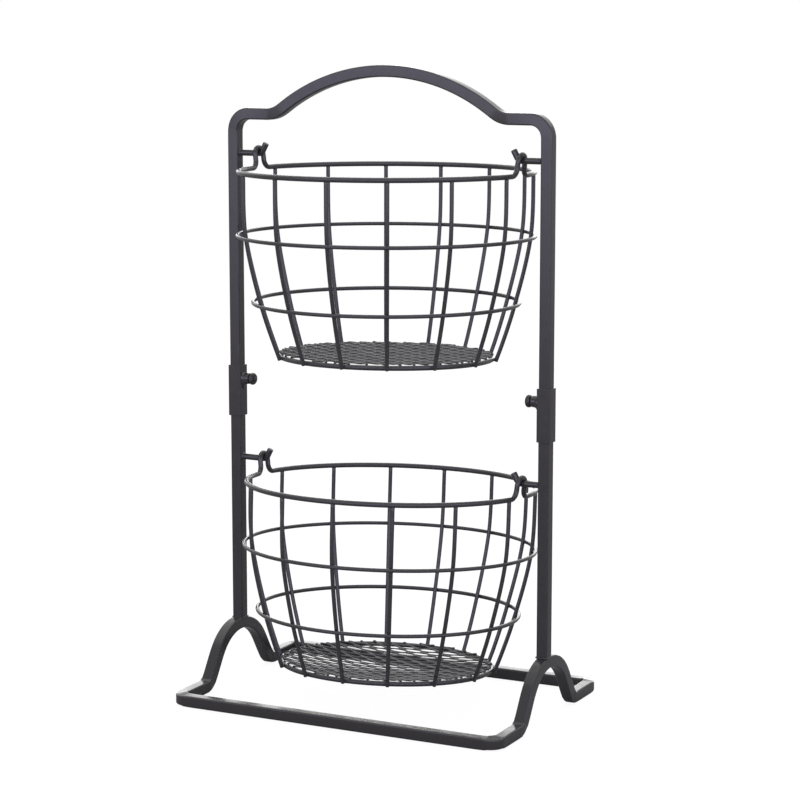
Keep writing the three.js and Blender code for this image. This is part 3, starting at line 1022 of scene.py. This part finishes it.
class StandRibs(bpy.types.Operator):
    """Bends the ribs from the rim down to the floor ring."""

    bl_idname = "stand.ribs"
    bl_label = "Ribs"

    def execute(self, context):
        sizes = context.scene.stand_basket
        cut = context.scene.stand_frame.cut_edge
        line = rib_profile(sizes, RIB_STEPS)
        foot = line[-1] + (line[-1] - line[-2]).normalized() * sizes.foot_poke
        profile = [Vector((point.x, 0, point.y)) for point in [*line, foot]]
        path, scales = cut_ends(profile, sizes.rib_wire, cut)
        rings = sweep(round_section(sizes.rib_wire, WIRE_SIDES), path, FRONT, scales=scales)
        for tier in TIERS:
            for index, turn in enumerate(rib_angles(sizes), 1):
                shape = Shape().skin(rings).moved(Matrix.Rotation(turn, 4, "Z"))
                add_to_basket(tier, f"rib_wire_{index:02d}", shape, "wire_coat", f"rib_{index:02d}")
        return {"FINISHED"}


class StandFloors(bpy.types.Operator):
    """Makes the floors of raised expanded metal, strand by strand."""

    bl_idname = "stand.floors"
    bl_label = "Floors"

    def execute(self, context):
        basket = context.scene.stand_basket
        sizes = context.scene.stand_floor
        radius, wire, drop = ring_levels(basket)["floor_ring"]
        reach = radius - wire / 2 + sizes.overlap
        raised = sizes.strand * math.sin(sizes.tilt) + sizes.thickness / 2 * math.cos(sizes.tilt)
        level = wire / 2 + raised - sizes.press - drop
        rows = math.ceil(2 * reach / sizes.short_way)
        for tier in TIERS:
            shape = Shape()
            sag = getattr(sizes, f"{tier}_sag")
            for row in range(-rows, rows):
                self.add_row(shape, sizes, row, reach)
            for point in shape.points:
                hang = 1 - point.xy.length_squared / reach ** 2
                point.z += sizes.ripple * noise.noise(point / sizes.long_way) - sag * hang
            shape.moved(Matrix.Translation((0, 0, level)) @ Matrix.Rotation(sizes.turn, 4, "Z"))
            add_to_basket(tier, "floor_sheet", shape, "mesh_coat", "floor_mesh")
        return {"FINISHED"}

    def add_row(self, shape, sizes, row, reach):
        """One strand across the sheet: it zigzags between two lines of bonds and leans all along."""
        lean = Vector((math.cos(sizes.tilt), 0, math.sin(sizes.tilt)))
        face = Vector((-lean.z, 0, lean.x))
        edge = sizes.thickness * STRAND_EDGE
        wide, thick = sizes.strand / 2, sizes.thickness / 2
        section = []
        for a, b in ((wide, -thick), (wide, thick), (-wide, thick), (-wide, -thick)):
            first = lean * (a - math.copysign(edge, a)) + face * b
            second = lean * a + face * (b - math.copysign(edge, b))
            section += [second, first] if a * b > 0 else [first, second]
        slack = face * (1 - sizes.thin)
        steps = math.ceil(reach / sizes.long_way) * 2 + 2
        stretch = []
        for step in range(-steps * STRAND_STEPS, steps * STRAND_STEPS + 1):
            along = step / STRAND_STEPS * sizes.long_way / 2
            point, away = self.strand_point(sizes, row, along, lean)
            if point.xy.length < reach:
                stretch.append((point, away))
                continue
            if len(stretch) > 1:
                shape.skin([
                    [spot + corner - slack * corner.dot(face) * part for corner in section]
                    for spot, part in stretch
                ])
                for end, _ in (stretch[0], stretch[-1]):
                    size = sizes.end_weld
                    axes = stretched((lean, Vector((0, 1, 0)), face), size, END_WELD)
                    lump(shape, end - UP * sizes.press, axes, size * END_UNEVEN)
            stretch = []

    def strand_point(self, sizes, row, along, lean):
        """Middle of a strand at a distance along its row, and how far it is from its bonds."""
        phase = (2 * along / sizes.long_way + (row & 1)) % 2
        swing = 1 - abs(phase - 1)
        flat = sizes.bond / sizes.long_way
        across = min(1.0, max(0.0, (swing - flat) / (1 - 2 * flat)))
        line = Vector(((row + across) * sizes.short_way / 2, along, 0))
        return line + lean * sizes.strand * (0.5 - across), 1 - (2 * across - 1) ** 2


class StandWelds(bpy.types.Operator):
    """Adds the welds where the wires of a basket cross."""

    bl_idname = "stand.welds"
    bl_label = "Welds"

    def execute(self, context):
        sizes = context.scene.stand_basket
        size = sizes.nugget
        for tier in TIERS:
            shape = Shape()
            for turn in rib_angles(sizes):
                out = Vector((math.cos(turn), math.sin(turn), 0))
                side = UP.cross(out)
                axes = (out, side, UP)
                rim = out * sizes.rim_radius - UP * sizes.rim_wire / 2
                lump(shape, rim, stretched(axes, size, RIM_WELD), sizes.uneven)
                for name, (radius, wire, drop) in ring_levels(sizes).items():
                    inward = 1 if name == "floor_ring" else -1
                    spot = out * (radius + inward * wire / 2) - UP * drop
                    lump(shape, spot, stretched(axes, size, RING_WELD), sizes.uneven)
            add_to_basket(tier, "basket_welds", shape, "wire_coat")
        return {"FINISHED"}


# Stage

# Bright parts of the studio. Spread is the cosine to their middle where they begin and where they
# are full; rise and fall are the heights where they come in and go out.
WINDOW = {"spread": (0.0, 0.6), "rise": (-0.2, 0.0), "fall": (0.3, 0.6)}
SCREEN = {"spread": (0.88, 0.97), "rise": (-0.05, 0.03), "fall": (0.2, 0.42)}
CEILING = {"spread": (0.55, 0.75), "rise": (0.1, 0.2), "fall": (1.1, 1.2)}
SCREEN_WAY = Vector((-0.42, 0.91, 0))
CEILING_WAY = Vector((-0.3, 0.5, 0.81))
SOFTBOX_PLACE = Vector((0, -0.1, 1.9))
SOFTBOX_SIDE = 1.6
SENSOR_WIDTH = 36  # millimetres
FLOOR_DROP = 0.0003  # floor below the table face, so that the two don't share a plane


class StandStage(bpy.types.Operator):
    """Sets the floor, the light of a white studio and the camera."""

    bl_idname = "stand.stage"
    bl_label = "Floor, light and camera"

    def execute(self, context):
        settings = context.scene.stand_stage
        self.add_floor(settings)
        self.set_world(context.scene, settings)
        self.add_softbox(context.scene, settings.softbox)
        self.add_camera(context.scene, settings)
        context.scene.view_settings.view_transform = "Standard"
        return {"FINISHED"}

    def add_floor(self, settings):
        """A level floor that shows white and keeps the stand's soft shadow."""
        mesh = bpy.data.meshes.new("floor")
        rim = ring_points(settings.floor_reach, -FLOOR_DROP, FLOOR_SIDES)
        mesh.from_pydata(rim, [], [tuple(range(len(rim)))])
        material, tree = new_tree("white_floor")
        path = add_node(tree, "ShaderNodeLightPath")
        matt = add_node(tree, "ShaderNodeBsdfDiffuse", {"Color": settings.floor})
        glow = add_node(tree, "ShaderNodeEmission", {"Color": WHITE, "Strength": settings.floor_white})
        part = add_node(
            tree, "ShaderNodeMath", {0: path.outputs["Is Camera Ray"], 1: settings.floor_glow},
            operation="MULTIPLY",
        )
        mixed = add_node(
            tree, "ShaderNodeMixShader",
            {"Fac": part.outputs[0], 1: matt.outputs["BSDF"], 2: glow.outputs["Emission"]},
        )
        add_node(tree, "ShaderNodeOutputMaterial", {"Surface": mixed.outputs["Shader"]})
        mesh.materials.append(material)
        floor = bpy.data.objects.new("floor", mesh)
        bpy.context.scene.collection.objects.link(floor)

    def set_world(self, scene, settings):
        """White to the eye; for the stand, plain walls with a window in front and a screen behind."""
        world = bpy.data.worlds.new("White studio")
        scene.world = world
        world.use_nodes = True
        tree = world.node_tree
        tree.nodes.clear()
        way = add_node(tree, "ShaderNodeTexCoord").outputs["Generated"]
        height = add_node(tree, "ShaderNodeSeparateXYZ", {"Vector": way}).outputs["Z"]
        turn = Matrix.Rotation(settings.azimuth, 3, "Z")
        window = self.patch(tree, way, height, turn @ FRONT, settings.window - settings.dim, **WINDOW)
        screen = self.patch(tree, way, height, SCREEN_WAY, settings.screen - settings.dim, **SCREEN)
        ceiling = self.patch(tree, way, height, CEILING_WAY, settings.ceiling - settings.dim, **CEILING)
        bright = add_node(tree, "ShaderNodeMath", {0: screen, 1: ceiling}, operation="MAXIMUM")
        walls = add_node(
            tree, "ShaderNodeMath", {0: bright.outputs[0], 1: settings.dim}, operation="ADD"
        )
        plain = add_node(
            tree, "ShaderNodeBackground", {"Color": WHITE, "Strength": walls.outputs[0]}
        )
        tinted = add_node(
            tree, "ShaderNodeBackground", {"Color": settings.window_tint, "Strength": window}
        )
        studio = add_node(
            tree, "ShaderNodeAddShader",
            {0: plain.outputs["Background"], 1: tinted.outputs["Background"]},
        )
        seen = add_node(tree, "ShaderNodeBackground", {"Color": WHITE, "Strength": 1.0})
        path = add_node(tree, "ShaderNodeLightPath")
        whole = add_node(
            tree, "ShaderNodeMixShader",
            {
                "Fac": path.outputs["Is Camera Ray"],
                1: studio.outputs["Shader"],
                2: seen.outputs["Background"],
            },
        )
        add_node(tree, "ShaderNodeOutputWorld", {"Surface": whole.outputs["Shader"]})

    def patch(self, tree, way, height, aim, level, spread, rise, fall):
        """Strength of a bright part of the studio: towards a direction and between two heights."""
        toward = add_node(
            tree, "ShaderNodeVectorMath", {0: way, 1: aim}, operation="DOT_PRODUCT"
        ).outputs["Value"]
        total = level
        for value, (start, end), low, high in (
            (toward, spread, 0.0, 1.0), (height, rise, 0.0, 1.0), (height, fall, 1.0, 0.0),
        ):
            step = add_node(
                tree, "ShaderNodeMapRange",
                {"Value": value, "From Min": start, "From Max": end, "To Min": low, "To Max": high},
                interpolation_type="SMOOTHSTEP",
            )
            total = add_node(
                tree, "ShaderNodeMath", {0: step.outputs["Result"], 1: total}, operation="MULTIPLY"
            ).outputs[0]
        return total

    def add_softbox(self, scene, power):
        """A square area light above the stand that looks straight down."""
        light = bpy.data.lights.new("Top softbox", "AREA")
        light.size = SOFTBOX_SIDE
        light.energy = power
        lamp = bpy.data.objects.new("Top softbox", light)
        lamp.location = SOFTBOX_PLACE
        lamp.visible_camera = False
        scene.collection.objects.link(lamp)

    def add_camera(self, scene, settings):
        """The photograph's view: from the front right, a little from above."""
        camera = bpy.data.cameras.new("Camera")
        camera.lens = settings.lens
        camera.sensor_width = SENSOR_WIDTH
        lens = bpy.data.objects.new("Camera", camera)
        turn = Matrix.Rotation(settings.azimuth, 3, "Z") @ Matrix.Rotation(-settings.pitch, 3, "X")
        look = turn @ Vector((0, 1, 0))
        lens.location = Vector((settings.aim_x, 0, settings.aim_z)) - look * settings.distance
        lens.rotation_euler = look.to_track_quat("-Z", "Y").to_euler()
        scene.collection.objects.link(lens)
        scene.camera = lens


STEPS = (
    StandBase, StandPosts, StandHandle, StandSleeves, StandScrews, StandHooks,
    StandRims, StandRings, StandRibs, StandFloors, StandWelds, StandStage,
)


class StandPanel(bpy.types.Panel):
    """Lists the steps that build the stand."""

    bl_idname = "VIEW3D_PT_basket_stand"
    bl_label = "Basket stand"
    bl_space_type = "VIEW_3D"
    bl_region_type = "UI"
    bl_category = "Basket stand"

    def draw(self, context):
        for step in STEPS:
            self.layout.operator(step.bl_idname)


def register():
    """Adds the sizes, the steps and the panel to Blender."""
    for name, group in GROUPS.items():
        bpy.utils.register_class(group)
        setattr(bpy.types.Scene, name, PointerProperty(type=group))
    for step in (*STEPS, StandPanel):
        bpy.utils.register_class(step)


def unregister():
    """Takes them out again."""
    for step in reversed((*STEPS, StandPanel)):
        bpy.utils.unregister_class(step)
    for name, group in reversed(GROUPS.items()):
        delattr(bpy.types.Scene, name)
        bpy.utils.unregister_class(group)


def main():
    """Builds the stand and its stage."""
    register()
    bpy.ops.stand.base()
    bpy.ops.stand.posts()
    bpy.ops.stand.handle()
    bpy.ops.stand.sleeves()
    bpy.ops.stand.screws()
    bpy.ops.stand.hooks()
    bpy.ops.stand.rims()
    bpy.ops.stand.rings()
    bpy.ops.stand.ribs()
    bpy.ops.stand.floors()
    bpy.ops.stand.welds()
    bpy.ops.stand.stage()


if __name__ == "__main__":
    main()
